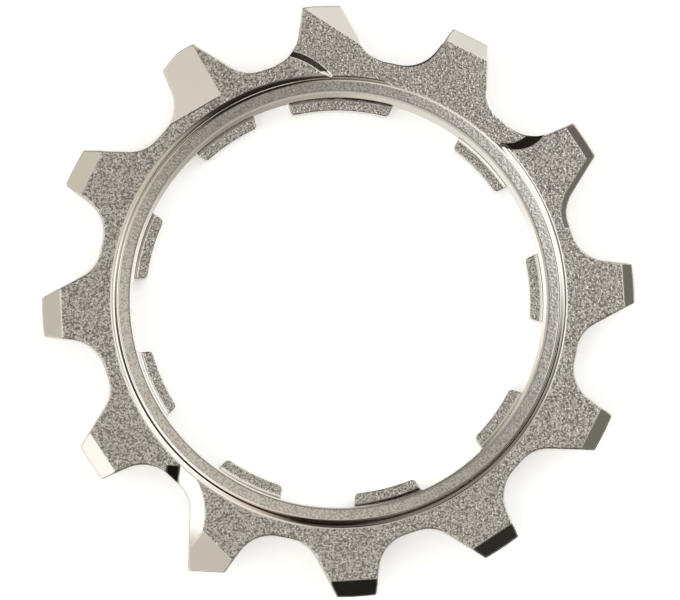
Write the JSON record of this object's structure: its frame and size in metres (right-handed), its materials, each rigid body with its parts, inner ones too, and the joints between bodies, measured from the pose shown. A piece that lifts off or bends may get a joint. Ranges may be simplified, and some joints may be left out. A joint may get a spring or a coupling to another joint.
{
  "type": "cassette cog",
  "caption": "Small bicycle cassette cog with shift ramps, slanted tooth cuts, inner driving tabs and its own spacer ring, for a splined freehub.",
  "frame": {"origin": "on the cog's axis, at the back face of its spacer ring", "axes": "+Z along the axis, from the spacer ring towards the front face with the collar and the slanted tooth cuts; +X to the right and +Y up as the picture shows the front face"},
  "size_m": [0.0502, 0.0502, 0.0037],
  "materials": {
    "plated_steel": "nickel-plated steel: fine grainy blasted faces, bright smooth slopes, edges and bevels"
  },
  "bodies": {
    "root": {"cog": "plated_steel"}
  },
  "joints": []
}
